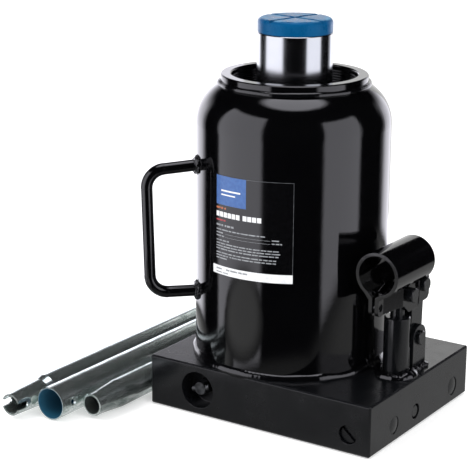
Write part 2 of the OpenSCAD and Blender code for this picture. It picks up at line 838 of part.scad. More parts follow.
// ---------- reservoir fittings ----------

// rod in the XZ plane with a round bend at each inner corner; the bends are a touch thicker
module bent_rod(pts, rod_r, bend) {
    swell = 0.1;
    lap = 0.6;
    n = len(pts);
    dirs = [for (i = [0:n - 2]) (pts[i + 1] - pts[i]) / norm(pts[i + 1] - pts[i])];
    turn = [for (i = [0:n - 1]) i == 0 || i == n - 1 ? 0 : acos(dirs[i - 1] * dirs[i])];
    setback = [for (t = turn) t == 0 ? 0 : bend * tan(t / 2) - lap];
    for (i = [0:n - 2]) {
        a = pts[i] + dirs[i] * setback[i];
        b = pts[i + 1] - dirs[i] * setback[i + 1];
        translate([a[0], 0, a[1]]) rotate([0, 90 - atan2(dirs[i][1], dirs[i][0]), 0])
            cylinder(r = rod_r, h = norm(b - a));
    }
    for (i = [1:n - 2]) {
        inward = (dirs[i] - dirs[i - 1]) / norm(dirs[i] - dirs[i - 1]);
        c = pts[i] + inward * bend / cos(turn[i] / 2);
        start = atan2(-inward[1], -inward[0]) - turn[i] / 2;
        translate([c[0], 0, c[1]]) rotate([90, 0, 0]) rotate(start)
            rotate_extrude(angle = turn[i]) translate([bend, 0]) circle(rod_r + swell);
    }
}

module handle_rod() {
    rotate(handle_azimuth) bent_rod([[tank_r - 2, handle_top_z], [113.4, 187], [110.7, 91.2],
        [tank_r - 2, handle_foot_z]], handle_rod_r, handle_bend);
}

module carry_handle() {
    color(paint_black) difference() {
        handle_rod();
        translate([0, 0, base_h]) cylinder(r = tank_r + weld_gap, h = 200, $fn = fine);
    }
}

module handle_welds() {
    blob_r = 9;
    color(weld_black) for (z = [handle_top_z, handle_foot_z]) difference() {
        rotate(handle_azimuth) translate([tank_r - 4.8, 0, z]) sphere(r = blob_r);
        translate([0, 0, base_h]) cylinder(r = tank_r + weld_gap, h = 200, $fn = fine);
        handle_rod();
    }
}

module tank_label() {
    color(label_black) rotate(label_left) rotate_extrude(angle = label_arc, $fn = fine)
        translate([tank_r, label_foot_z]) square([label_t, label_h]);
}

module oil_filler_plug() {
    flange_r = filler_r + 2.5;
    color(rubber_black) difference() {
        union() {
            rod_y([0, tank_r - tank_wall - 3, filler_z], filler_r, tank_wall + 3);
            rod_y([0, tank_r - 1, filler_z], flange_r, 3.5);
        }
        difference() {
            rod_y([0, tank_r - 2, filler_z], flange_r + cut, 2.2);
            rod_y([0, tank_r - 3, filler_z], filler_r, 5);
        }
    }
}

// ---------- pump handle tubes ----------

// lays a shape made along +Z on the floor, pointing along the tubes
module lay_down(tip, r) {
    translate([tip[0], tip[1], r]) rotate(handle_tubes_azimuth - 90) rotate([-90, 0, 0]) children();
}

// pressed dimple in the side of a tube that stands along +Z
module side_dimple(tube_r, z, press_r, depth) translate([tube_r + press_r - depth, 0, z]) sphere(r = press_r);

module handle_key_tube() {
    tip_r = 8.6;
    neck_r = 9.9;
    neck_len = 34;
    flare_end = 40;
    slot_w = 5.5;
    slot_len = 7;
    color(zinc) lay_down(key_tip, key_tube_r) difference() {
        rotate_extrude() polygon([[tip_r - key_wall, 0], [tip_r, 0], [neck_r, neck_len],
            [key_tube_r, flare_end], [key_tube_r, handle_tube_len], [key_tube_r - key_wall, handle_tube_len],
            [key_tube_r - key_wall, flare_end], [neck_r - key_wall, neck_len]]);
        // two notches that fit over the release valve's cross pin
        translate([-20, -slot_w / 2, -cut]) cube([40, slot_w, slot_len + cut]);
        translate([0, 0, slot_len]) rotate([0, 90, 0]) cylinder(r = slot_w / 2, h = 40, center = true);
        rotate(-5) side_dimple(9.2, 16.5, 8, 1.2);
    }
}

module handle_middle_tube() {
    edge = 0.4;
    inner = middle_tube_r - middle_wall;
    hole_z = 11.5;
    hole_r = 1.9;
    color(zinc) lay_down(middle_tip, middle_tube_r) difference() {
        rotate_extrude() polygon([[inner, 0], [middle_tube_r - edge, 0], [middle_tube_r, edge],
            [middle_tube_r, handle_tube_len], [inner, handle_tube_len]]);
        rotate(-4) {
            side_dimple(middle_tube_r, hole_z, 7, 1);
            translate([0, 0, hole_z]) rotate([0, 90, 0]) cylinder(r = hole_r, h = 20);
        }
    }
}

module handle_end_tube() {
    neck_r = 9;
    neck_len = 7;
    flare_end = 30;
    edge = 0.5;
    color(zinc) lay_down(end_tip, end_tube_r) rotate_extrude() polygon([[neck_r - end_wall, 0],
        [neck_r - edge, 0], [neck_r, edge], [neck_r, neck_len], [end_tube_r, flare_end],
        [end_tube_r, handle_tube_len], [end_tube_r - end_wall, handle_tube_len],
        [end_tube_r - end_wall, flare_end], [neck_r - end_wall, neck_len]]);
}

base_block();
reservoir_tank();
tank_weld();
head_collar();
collar_weld();
pressure_cylinder();
cylinder_gasket();
gland_nut();
gland_seal();
ram_guide_bush();
ram_wiper();
pump_cylinder();
pump_weld();
pump_washer();
plunger_wiper();
link_lugs();
lug_weld();
lug_pin();
lug_pin_clip();
carry_handle();
handle_welds();
tank_label();
front_plug();
suction_plug();
delivery_plug();
relief_plug();
suction_seat();
suction_strainer();
suction_spring();
suction_ball();
delivery_ball();
ball_cage();
overload_ball();
overload_spring();
overload_screw();
ram();
ram_piston();
piston_seal();
piston_wear_ring();
saddle();
release_valve();
release_cross_pin();
release_seal();
link_bar();
lever_socket();
clamp_screw();
plunger_pin();
plunger_pin_clip();
fulcrum_pin();
fulcrum_pin_clip();
plunger();
plunger_seal();
oil_filler_plug();
handle_key_tube();
handle_middle_tube();
handle_end_tube();
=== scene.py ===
import math
import random

import bmesh
import bpy
from mathutils import Matrix, Vector, noise


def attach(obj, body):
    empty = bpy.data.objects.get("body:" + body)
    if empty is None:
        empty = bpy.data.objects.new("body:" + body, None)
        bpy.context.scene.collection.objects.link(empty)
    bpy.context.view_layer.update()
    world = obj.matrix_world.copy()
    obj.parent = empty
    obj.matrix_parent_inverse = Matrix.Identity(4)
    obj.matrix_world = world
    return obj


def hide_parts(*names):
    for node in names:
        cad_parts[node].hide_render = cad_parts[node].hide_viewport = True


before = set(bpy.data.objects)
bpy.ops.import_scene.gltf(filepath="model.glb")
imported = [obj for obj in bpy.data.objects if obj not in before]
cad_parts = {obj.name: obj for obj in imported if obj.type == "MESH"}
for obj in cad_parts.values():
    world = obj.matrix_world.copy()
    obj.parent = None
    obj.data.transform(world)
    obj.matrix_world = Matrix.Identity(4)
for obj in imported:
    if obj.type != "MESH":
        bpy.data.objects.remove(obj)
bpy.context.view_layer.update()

MM = 0.001
TANK_R = 74.25 * MM
BASE_TOP = 39.7 * MM
COLLAR_FOOT = 251.4 * MM
SADDLE_TOP = 300 * MM
PUMP = Vector((96.4 * MM, -5.2 * MM, 0))
LUG_Y = 14.3 * MM
HANDLE_AZIMUTH = math.radians(-135)
HANDLE_FEET = (190.2 * MM, 91.0 * MM)
# how the loose tubes lie, in degrees, and the open near end of the middle one
TUBES_AZIMUTH = 89.2
MIDDLE_TUBE_TIP = Vector((-121.9, -148.5, 13.0)) * MM
MIDDLE_TUBE_BORE_R = 11.8 * MM


# ---------- colours and nodes ----------

def srgb(code):
    """An sRGB hex colour as linear RGBA."""
    parts = [int(code[i:i + 2], 16) / 255 for i in (1, 3, 5)]
    return tuple(c / 12.92 if c <= 0.04045 else ((c + 0.055) / 1.055) ** 2.4 for c in parts) + (1.0,)


def add(tree, kind, settings=None, **inputs):
    """Adds a node, sets its attributes, and fills or links its inputs.
    An input's name has _ for a space, or is in_0, in_1 for its number."""
    node = tree.nodes.new(kind)
    for key, value in (settings or {}).items():
        setattr(node, key, value)
    for key, value in inputs.items():
        socket = node.inputs[int(key[3:])] if key.startswith("in_") else node.inputs[key.replace("_", " ")]
        if isinstance(value, bpy.types.NodeSocket):
            tree.links.new(value, socket)
        else:
            socket.default_value = value
    return node


def new_material(name):
    """A material with only its output and a Principled shader."""
    material = bpy.data.materials.new(name)
    material.use_nodes = True
    tree = material.node_tree
    tree.nodes.clear()
    shader = tree.nodes.new("ShaderNodeBsdfPrincipled")
    output = tree.nodes.new("ShaderNodeOutputMaterial")
    tree.links.new(shader.outputs["BSDF"], output.inputs["Surface"])
    return material, tree, shader


def per_metre(size_mm):
    """Noise scale for features of a real size."""
    return 1000.0 / size_mm


def black_enamel(name, tones, gloss, peel_mm, peel_depth, lump_mm, lump_depth, dust=0.0):
    """Air-dried black enamel sprayed on steel: near black, wet gloss, orange peel in the highlights."""
    material, tree, shader = new_material(name)
    where = add(tree, "ShaderNodeTexCoord").outputs["Object"]
    blotch = add(tree, "ShaderNodeTexNoise", Vector=where, Scale=per_metre(35), Detail=4.0)
    colour = add(tree, "ShaderNodeMix", {"data_type": "RGBA"}, Factor=blotch.outputs["Fac"])
    colour.inputs["A"].default_value = srgb(tones[0])
    colour.inputs["B"].default_value = srgb(tones[1])
    specks = add(tree, "ShaderNodeTexNoise", Vector=where, Scale=per_metre(1.6), Detail=2.0)
    speck_mask = add(tree, "ShaderNodeMapRange", Value=specks.outputs["Fac"], From_Min=0.72, From_Max=0.80,
                     To_Min=0.0, To_Max=dust)
    dusty = add(tree, "ShaderNodeMix", {"data_type": "RGBA"}, Factor=speck_mask.outputs["Result"])
    tree.links.new(colour.outputs["Result"], dusty.inputs["A"])
    dusty.inputs["B"].default_value = srgb("#5a5c60")
    tree.links.new(dusty.outputs["Result"], shader.inputs["Base Color"])
    sheen = add(tree, "ShaderNodeTexNoise", Vector=where, Scale=per_metre(14), Detail=3.0)
    rough = add(tree, "ShaderNodeMapRange", Value=sheen.outputs["Fac"], From_Min=0.3, From_Max=0.7,
                To_Min=gloss * 0.8, To_Max=gloss * 1.3)
    tree.links.new(rough.outputs["Result"], shader.inputs["Roughness"])
    shader.inputs["IOR"].default_value = 1.52
    rounded = add(tree, "ShaderNodeBevel", {"samples": 4}, Radius=0.7 * MM)
    peel = add(tree, "ShaderNodeTexNoise", Vector=where, Scale=per_metre(peel_mm), Detail=1.0)
    lump = add(tree, "ShaderNodeTexNoise", Vector=where, Scale=per_metre(lump_mm), Detail=2.0)
    fine = add(tree, "ShaderNodeBump", Strength=1.0, Distance=peel_depth * MM, Height=peel.outputs["Fac"],
               Normal=rounded.outputs["Normal"])
    coarse = add(tree, "ShaderNodeBump", Strength=1.0, Distance=lump_depth * MM, Height=lump.outputs["Fac"],
                 Normal=fine.outputs["Normal"])
    tree.links.new(coarse.outputs["Normal"], shader.inputs["Normal"])
    return material


def steel(name, light, dark, gloss, stretch, line_mm, line_depth, blotch_mm=18):
    """Bare machined metal: the marks that the tool left break up the reflections, over a faint blotch.
    A stretch above 1 packs the marks closer along that axis."""
    material, tree, shader = new_material(name)
    where = add(tree, "ShaderNodeTexCoord").outputs["Object"]
    marks_at = add(tree, "ShaderNodeMapping", Vector=where, Scale=stretch)
    marks = add(tree, "ShaderNodeTexNoise", Vector=marks_at.outputs["Vector"], Scale=per_metre(line_mm), Detail=3.0)
    blotch = add(tree, "ShaderNodeTexNoise", Vector=where, Scale=per_metre(blotch_mm), Detail=4.0)
    both = add(tree, "ShaderNodeMath", {"operation": "MULTIPLY"}, in_0=marks.outputs["Fac"],
               in_1=blotch.outputs["Fac"])
    shade = add(tree, "ShaderNodeMapRange", Value=both.outputs["Value"], From_Min=0.12, From_Max=0.38)
    colour = add(tree, "ShaderNodeMix", {"data_type": "RGBA"}, Factor=shade.outputs["Result"])
    colour.inputs["A"].default_value = srgb(dark)
    colour.inputs["B"].default_value = srgb(light)
    tree.links.new(colour.outputs["Result"], shader.inputs["Base Color"])
    shader.inputs["Metallic"].default_value = 1.0
    rough = add(tree, "ShaderNodeMapRange", Value=marks.outputs["Fac"], From_Min=0.3, From_Max=0.7,
                To_Min=gloss * 0.75, To_Max=gloss * 1.35)
    tree.links.new(rough.outputs["Result"], shader.inputs["Roughness"])
    bump = add(tree, "ShaderNodeBump", Strength=1.0, Distance=line_depth * MM, Height=marks.outputs["Fac"])
    tree.links.new(bump.outputs["Normal"], shader.inputs["Normal"])
    return material


# the passivate film over the zinc takes a little off the metal's mirror
ZINC_METALLIC = 0.95


def zinc_plate(name, tube_tip=None, bore_r=None):
    """Bright zinc electroplate on drawn tube: blue-white gloss broken by cloudy grey mottling and fine grain.
    With a tube's tip and bore radius, the bore is dull teal."""
    material, tree, shader = new_material(name)
    where = add(tree, "ShaderNodeTexCoord").outputs["Object"]
    along = add(tree, "ShaderNodeMapping", Vector=where, Scale=(1.0, 0.35, 1.0))
    cloud = add(tree, "ShaderNodeTexNoise", Vector=along.outputs["Vector"], Scale=per_metre(5), Detail=7.0,
                Roughness=0.68)
    grain = add(tree, "ShaderNodeTexNoise", Vector=where, Scale=per_metre(1.1), Detail=3.0)
    mixed = add(tree, "ShaderNodeMath", {"operation": "MULTIPLY_ADD"}, in_0=grain.outputs["Fac"], in_1=0.5,
                in_2=cloud.outputs["Fac"])
    shade = add(tree, "ShaderNodeMapRange", Value=mixed.outputs["Value"], From_Min=0.56, From_Max=0.94)
    colour = add(tree, "ShaderNodeValToRGB", Fac=shade.outputs["Result"])
    ramp = colour.color_ramp
    ramp.elements[0].color = srgb("#9fada9")
    ramp.elements[1].color = srgb("#f6fbfa")
    middle = ramp.elements.new(0.5)
    middle.color = srgb("#cfdad7")
    tint = colour.outputs["Color"]
    rough = add(tree, "ShaderNodeMapRange", Value=shade.outputs["Result"], To_Min=0.26, To_Max=0.15)
    roughness = rough.outputs["Result"]
    if tube_tip:
        # distance from the tube's axis, which runs nearly along Y
        from_tip = add(tree, "ShaderNodeVectorMath", {"operation": "SUBTRACT"}, in_0=where, in_1=tube_tip)
        turned = add(tree, "ShaderNodeVectorRotate", {"rotation_type": "Z_AXIS"},
                     Vector=from_tip.outputs["Vector"], Angle=math.radians(90 - TUBES_AZIMUTH))
        round_axis = add(tree, "ShaderNodeVectorMath", {"operation": "MULTIPLY"}, in_0=turned.outputs["Vector"],
                         in_1=(1, 0, 1))
        radius = add(tree, "ShaderNodeVectorMath", {"operation": "LENGTH"}, in_0=round_axis.outputs["Vector"])
        outside = add(tree, "ShaderNodeMapRange", Value=radius.outputs["Value"], From_Min=bore_r + 0.1 * MM,
                      From_Max=bore_r + 0.5 * MM)
        tinted = add(tree, "ShaderNodeMix", {"data_type": "RGBA"}, Factor=outside.outputs["Result"])
        tinted.inputs["A"].default_value = srgb("#1d5670")
        tree.links.new(tint, tinted.inputs["B"])
        tint = tinted.outputs["Result"]
        metal = add(tree, "ShaderNodeMapRange", Value=outside.outputs["Result"], To_Max=ZINC_METALLIC)
        tree.links.new(metal.outputs["Result"], shader.inputs["Metallic"])
        dull = add(tree, "ShaderNodeMapRange", Value=outside.outputs["Result"], To_Min=0.8, To_Max=0.0)
        roughness = add(tree, "ShaderNodeMath", {"operation": "MAXIMUM"}, in_0=roughness,
                        in_1=dull.outputs["Result"]).outputs["Value"]
    else:
        shader.inputs["Metallic"].default_value = ZINC_METALLIC
    tree.links.new(tint, shader.inputs["Base Color"])
    tree.links.new(roughness, shader.inputs["Roughness"])
    bump = add(tree, "ShaderNodeBump", Strength=1.0, Distance=0.05 * MM, Height=mixed.outputs["Value"])
    tree.links.new(bump.outputs["Normal"], shader.inputs["Normal"])
    return material


def blue_enamel():
    """Dipped blue enamel on the saddle: gloss with scuffs; the top flats are painted pale blue in scuffed patches,
    partly wear and partly a painted highlight.
    """
    material, tree, shader = new_material("blue_dipped_enamel")
    where = add(tree, "ShaderNodeTexCoord").outputs["Object"]
    height = add(tree, "ShaderNodeSeparateXYZ", Vector=where)
    scuff = add(tree, "ShaderNodeTexNoise", Vector=where, Scale=per_metre(9), Detail=6.0, Roughness=0.7)
    # the top face only: the pale blue there is partly scuff wear and partly a painted highlight of the light
    # falling on top
    painted_highlight_on_top = add(tree, "ShaderNodeMapRange", Value=height.outputs["Z"], From_Min=SADDLE_TOP - 0.8 * MM,
                 From_Max=SADDLE_TOP - 0.1 * MM)
    worn = add(tree, "ShaderNodeMapRange", Value=scuff.outputs["Fac"], From_Min=0.45, From_Max=0.68, To_Max=0.55)
    both = add(tree, "ShaderNodeMath", {"operation": "MULTIPLY"}, in_0=painted_highlight_on_top.outputs["Result"],
               in_1=worn.outputs["Result"])
    tone = add(tree, "ShaderNodeTexNoise", Vector=where, Scale=per_metre(20), Detail=3.0)
    paint = add(tree, "ShaderNodeMix", {"data_type": "RGBA"}, Factor=tone.outputs["Fac"])
    paint.inputs["A"].default_value = srgb("#003a62")
    paint.inputs["B"].default_value = srgb("#005486")
    # pale blue patches on the top: a painted highlight mixed with scuff wear
    colour = add(tree, "ShaderNodeMix", {"data_type": "RGBA"}, Factor=both.outputs["Value"])
    tree.links.new(paint.outputs["Result"], colour.inputs["A"])
    colour.inputs["B"].default_value = srgb("#7fb9da")
    tree.links.new(colour.outputs["Result"], shader.inputs["Base Color"])
    rough = add(tree, "ShaderNodeMapRange", Value=scuff.outputs["Fac"], From_Min=0.3, From_Max=0.7,
                To_Min=0.14, To_Max=0.5)
    tree.links.new(rough.outputs["Result"], shader.inputs["Roughness"])
    shader.inputs["IOR"].default_value = 1.45
    shader.inputs["Specular Tint"].default_value = srgb("#86cdf4")
    shader.inputs["Specular IOR Level"].default_value = 0.3
    bump = add(tree, "ShaderNodeBump", Strength=1.0, Distance=0.12 * MM, Height=scuff.outputs["Fac"])
    tree.links.new(bump.outputs["Normal"], shader.inputs["Normal"])
    return material


def nitrile_rubber():
    """Moulded nitrile rubber: charcoal, faintly mottled, dull with a soft shine."""
    material, tree, shader = new_material("nitrile_rubber")
    where = add(tree, "ShaderNodeTexCoord").outputs["Object"]
    mottle = add(tree, "ShaderNodeTexNoise", Vector=where, Scale=per_metre(4), Detail=5.0)
    colour = add(tree, "ShaderNodeMix", {"data_type": "RGBA"}, Factor=mottle.outputs["Fac"])
    colour.inputs["A"].default_value = srgb("#161617")
    colour.inputs["B"].default_value = srgb("#2a2a2b")
    tree.links.new(colour.outputs["Result"], shader.inputs["Base Color"])
    rough = add(tree, "ShaderNodeMapRange", Value=mottle.outputs["Fac"], To_Min=0.45, To_Max=0.7)
    tree.links.new(rough.outputs["Result"], shader.inputs["Roughness"])
    bump = add(tree, "ShaderNodeBump", Strength=1.0, Distance=0.05 * MM, Height=mottle.outputs["Fac"])
    tree.links.new(bump.outputs["Normal"], shader.inputs["Normal"])
    return material


def printed_film(name, ink, ink_worn, gloss=0.22):
    """Vinyl label film with screen-printed ink: even colour, slightly broken where the print is thin."""
    material, tree, shader = new_material(name)
    where = add(tree, "ShaderNodeTexCoord").outputs["Object"]
    thin = add(tree, "ShaderNodeTexNoise", Vector=where, Scale=per_metre(2.5), Detail=4.0)
    worn = add(tree, "ShaderNodeMapRange", Value=thin.outputs["Fac"], From_Min=0.4, From_Max=0.75)
    colour = add(tree, "ShaderNodeMix", {"data_type": "RGBA"}, Factor=worn.outputs["Result"])
    colour.inputs["A"].default_value = srgb(ink)
    colour.inputs["B"].default_value = srgb(ink_worn)
    tree.links.new(colour.outputs["Result"], shader.inputs["Base Color"])
    rough = add(tree, "ShaderNodeMapRange", Value=thin.outputs["Fac"], To_Min=gloss * 0.8, To_Max=gloss * 1.3)
    tree.links.new(rough.outputs["Result"], shader.inputs["Roughness"])
    return material


# thick paint on smooth plate: the deepest black, with sharp reflections that waver slowly
ENAMEL = black_enamel("black_enamel_on_plate", ("#020203", "#050506"), gloss=0.075, peel_mm=2.2, peel_depth=0.012,
                      lump_mm=30, lump_depth=0.10)
# thin paint on a sawn block: duller, greyer reflections and a few pale specks of dust
ENAMEL_BASE = black_enamel("black_enamel_on_sawn_steel", ("#08090b", "#0e0f12"), gloss=0.22, peel_mm=1.8,
                           peel_depth=0.020, lump_mm=22, lump_depth=0.05, dust=0.25)
# paint that ran on small parts: glossy, with broken highlights
ENAMEL_FITTINGS = black_enamel("black_enamel_on_fittings", ("#08090a", "#101114"), gloss=0.14, peel_mm=2.0,
                               peel_depth=0.025, lump_mm=9, lump_depth=0.08)
# paint pooled over weld metal: wet bright glints on every lump
ENAMEL_WELD = black_enamel("black_enamel_on_weld", ("#030304", "#08080a"), gloss=0.08, peel_mm=1.6,
                           peel_depth=0.03, lump_mm=7, lump_depth=0.20)
# ground and polished shaft: clean upright strips of light, no visible marks
RAM_STEEL = steel("ground_ram_steel", "#b4b6b9", "#aaadb0", gloss=0.17, stretch=(1.0, 1.0, 1.0), line_mm=40.0,
                  line_depth=0.001, blotch_mm=60)
# lathe-turned steel: fine rings that widen the highlights
TURNED_STEEL = steel("turned_steel", "#a4a8ab", "#6f7376", gloss=0.28, stretch=(0.3, 0.3, 2.5), line_mm=2.0,
                     line_depth=0.02)
# plain drawn steel kept from rust with oil: dark grey and soft, with cloudy patches
OILED_STEEL = steel("oiled_steel", "#6f7172", "#3c3d3e", gloss=0.5, stretch=(1.0, 1.0, 1.0), line_mm=2.5,
                    line_depth=0.03, blotch_mm=6)
# turned bronze: warm yellow-brown with the same fine rings
BRONZE = steel("turned_bronze", "#c79a5b", "#8a6232", gloss=0.25, stretch=(0.4, 0.4, 2.5), line_mm=2.0,
               line_depth=0.02)
ZINC = zinc_plate("zinc_electroplate")
ZINC_DULL_BORE = zinc_plate("zinc_electroplate_dull_bore", MIDDLE_TUBE_TIP, MIDDLE_TUBE_BORE_R)
BLUE = blue_enamel()
RUBBER = nitrile_rubber()
# glossy vinyl film and its printed inks, a little uneven where the ink is thin
FILM = printed_film("label_film_black", "#050506", "#09090b", 0.10)
INK_BLUE = printed_film("label_ink_blue", "#28528f", "#355f9b")
INK_ORANGE = printed_film("label_ink_orange", "#a0542c", "#b4633a")
INK_RED = printed_film("label_ink_red", "#9c2f33", "#8a2a2e")
INK_WHITE = printed_film("label_ink_white", "#e4e5e7", "#cfd1d4")
INK_GREY = printed_film("label_ink_grey", "#8d9094", "#6f7276")
INK_DARK = printed_film("label_ink_dark", "#4a4c50", "#6a6c70")

FINISHES = [
    (ENAMEL, "reservoir_tank head_collar carry_handle lever_socket"),
    (ENAMEL_BASE, "base_block front_plug suction_plug delivery_plug relief_plug"),
    (ENAMEL_FITTINGS, "pump_cylinder link_lugs lug_pin link_bar plunger_pin fulcrum_pin clamp_screw "
                      "lug_pin_clip plunger_pin_clip fulcrum_pin_clip plunger"),
    (ENAMEL_WELD, "tank_weld collar_weld pump_weld lug_weld handle_welds"),
    (RAM_STEEL, "ram"),
    (TURNED_STEEL, "ram_piston pressure_cylinder gland_nut suction_ball delivery_ball overload_ball"),
    (OILED_STEEL, "overload_spring suction_spring overload_screw suction_strainer release_valve release_cross_pin"),
    (BRONZE, "ram_guide_bush piston_wear_ring suction_seat ball_cage cylinder_gasket pump_washer"),
    (ZINC, "handle_key_tube handle_end_tube"),
    (ZINC_DULL_BORE, "handle_middle_tube"),
    (BLUE, "saddle"),
    (RUBBER, "gland_seal ram_wiper piston_seal plunger_wiper plunger_seal release_seal oil_filler_plug"),
    (FILM, "tank_label"),
]
for finish, names in FINISHES:
    for node_name in names.split():
        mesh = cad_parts[node_name].data
        mesh.materials.clear()
        mesh.materials.append(finish)


# ---------- new pieces ----------

def finish_piece(name, shape, material, body, smooth=True):
    """Turns a bmesh into a piece that rides on a body."""
    mesh = bpy.data.meshes.new(name)
    shape.to_mesh(mesh)
    shape.free()
    mesh.materials.append(material)
    for face in mesh.polygons:
        face.use_smooth = smooth
    piece = bpy.data.objects.new(name, mesh)
    bpy.context.scene.collection.objects.link(piece)
    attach(piece, body)
    return piece


def ring_bead(name, node, centre, ring_r, bead_r, seed, ripple, lump, lump_mm):
    """A weld bead laid round a cylinder: a scallop from each pass of the torch, and longer uneven lumps."""
    shape = bmesh.new()
    bmesh.ops.create_circle(shape, segments=12, radius=bead_r)
    bmesh.ops.rotate(shape, verts=shape.verts, cent=(0, 0, 0), matrix=Matrix.Rotation(math.pi / 2, 3, "X"))
    bmesh.ops.translate(shape, verts=shape.verts, vec=(ring_r, 0, 0))
    steps = max(48, int(2 * math.pi * ring_r / (0.8 * MM)))
    bmesh.ops.spin(shape, geom=shape.verts[:] + shape.edges[:], cent=(0, 0, 0), axis=(0, 0, 1),
                   angle=2 * math.pi, steps=steps, use_merge=True)
    bmesh.ops.remove_doubles(shape, verts=shape.verts, dist=1e-7)
    passes = round(2 * math.pi * ring_r / (3.2 * MM))
    for vert in shape.verts:
        angle = math.atan2(vert.co.y, vert.co.x)
        core = Vector((ring_r * math.cos(angle), ring_r * math.sin(angle), 0))
        out = vert.co - core
        scallop = abs(math.sin(angle * passes / 2)) - 0.6
        uneven = noise.noise(core / (lump_mm * MM) + Vector((seed, 0, out.z / (9 * MM))))
        small = noise.noise(vert.co / (2.6 * MM) + Vector((seed, 0, 0)))
        vert.co = core + out * (1 + ripple * scallop + lump * uneven + 0.5 * ripple * small)
    bmesh.ops.translate(shape, verts=shape.verts, vec=centre)
    bmesh.ops.recalc_face_normals(shape, faces=shape.faces)
    piece = finish_piece(name, shape, ENAMEL_WELD, "housing")
    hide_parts(node)
    return piece


def blob_bead(name, node, places, material, seed):
    """Short welds piled round the foot of a rod; places holds a centre and three radii each."""
    whole = bmesh.new()
    for number, (centre, turn, radii) in enumerate(places):
        shape = bmesh.new()
        bmesh.ops.create_icosphere(shape, subdivisions=5, radius=1.0)
        for vert in shape.verts:
            d = vert.co.normalized()
            lumps = noise.noise(d * 2.2 + Vector((seed, number * 3.1, 0)))
            beads = noise.noise(d * 5.5 + Vector((0, seed, number * 1.7)))
            vert.co = d * (1 + 0.16 * lumps + 0.10 * beads)
        bmesh.ops.scale(shape, verts=shape.verts, vec=radii)
        bmesh.ops.rotate(shape, verts=shape.verts, cent=(0, 0, 0), matrix=Matrix.Rotation(turn, 3, "Z"))
        bmesh.ops.translate(shape, verts=shape.verts, vec=centre)
        part = bpy.data.meshes.new("part")
        shape.to_mesh(part)
        shape.free()
        whole.from_mesh(part)
        bpy.data.meshes.remove(part)
    bmesh.ops.recalc_face_normals(whole, faces=whole.faces)
    piece = finish_piece(name, whole, material, "housing")
    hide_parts(node)
    return piece


ring_bead("tank_foot_bead", "tank_weld", (0, 0, BASE_TOP), ring_r=TANK_R - 2.4 * MM, bead_r=4.9 * MM, seed=1.0,
          ripple=0.012, lump=0.26, lump_mm=15)
ring_bead("collar_foot_bead", "collar_weld", (0, 0, COLLAR_FOOT), ring_r=56.2 * MM, bead_r=2.3 * MM, seed=7.0,
          ripple=0.012, lump=0.30, lump_mm=18)
ring_bead("pump_foot_bead", "pump_weld", (PUMP.x, PUMP.y, BASE_TOP), ring_r=11.4 * MM, bead_r=4.9 * MM, seed=13.0,
          ripple=0.06, lump=0.5, lump_mm=7)

# the carry handle's feet sit just inside the tank's wall, where a flat bead spreads round each
foot_r = TANK_R - 0.25 * MM
blob_bead("carry_handle_beads", "handle_welds",
          [(Vector((math.cos(HANDLE_AZIMUTH) * foot_r, math.sin(HANDLE_AZIMUTH) * foot_r, height)),
            HANDLE_AZIMUTH, (4.2 * MM, 7.6 * MM, 7.6 * MM)) for height in HANDLE_FEET], ENAMEL_WELD, 3.0)

# beads along the outside of the two lugs, each (how far along in mm, its three radii in mm), and one behind each
LUG_BEADS = [(-6.5, (3.6, 4.6, 2.8)), (0.5, (3.0, 5.2, 2.6)), (7.5, (3.8, 4.6, 3.0))]
lug_places = []
for side in (-1, 1):
    for along, radii in LUG_BEADS:
        lug_places.append((Vector((PUMP.x + side * 9.6 * MM, LUG_Y + along * MM, BASE_TOP + 0.4 * MM)), 0.0,
                           Vector(radii) * MM))
for side in (-1, 1):
    lug_places.append((Vector((PUMP.x + side * 8.0 * MM, LUG_Y + 10.9 * MM, BASE_TOP + 0.3 * MM)), 0.0,
                       Vector((3.4, 2.6, 2.6)) * MM))
blob_bead("lug_foot_beads", "lug_weld", lug_places, ENAMEL_WELD, 9.0)


# ---------- label print ----------

LABEL_R = TANK_R + 0.15 * MM
DEG = math.pi / 180


def print_bars(name, bars, material, lift):
    """Curved bars of ink on the label, each from one azimuth to another and one height to another."""
    shape = bmesh.new()
    radius = LABEL_R + lift * MM
    for start, stop, low, high in bars:
        foot = shape.verts.new((radius * math.cos(start * DEG), radius * math.sin(start * DEG), low * MM))
        head = shape.verts.new((foot.co.x, foot.co.y, high * MM))
        edge = shape.edges.new((foot, head))
        bmesh.ops.spin(shape, geom=[foot, head, edge], cent=(0, 0, 0), axis=(0, 0, 1),
                       angle=(stop - start) * DEG, steps=max(1, int((stop - start) / 2)))
    bmesh.ops.recalc_face_normals(shape, faces=shape.faces)
    for face in shape.faces:
        middle = face.calc_center_median()
        if face.normal.dot(Vector((middle.x, middle.y, 0))) < 0:
            face.normal_flip()
    return finish_piece(name, shape, material, "housing")


def word_row(rng, start, stop, low, high, shortest=1.6, longest=5.5, gap=0.55):
    """A row of word-length dashes that stands for small print."""
    bars = []
    at = start
    while at < stop - shortest:
        length = min(rng.uniform(shortest, longest), stop - at)
        bars.append((at, at + length, low, high))
        at += length + gap
    return bars


def letter_row(start, widths, gap, low, high):
    """A row of letter-sized blocks that stands for a heading; a negative width is a space."""
    bars = []
    at = start
    for width in widths:
        if width > 0:
            bars.append((at, at + width, low, high))
            at += width + gap
        else:
            at -= width
    return bars


# azimuths are in degrees, with the label's left edge at the most negative, and heights in mm
RNG = random.Random(11)
LEFT = -107.4
# rows of small print under the title: (height, where the row stops)
SMALL_ROWS = [(149.4, -74.0), (146.9, -64.0), (144.5, -64.0), (141.2, -96.0), (138.8, -66.0), (136.7, -64.5),
              (134.6, -65.0), (131.6, -66.0), (129.5, -67.5), (127.4, -98.0)]
# these two rows hold a caption, a ruled line and a value
RULED_ROWS = (1, 2)
PRINT_H = 0.9
RULE_H = 0.18

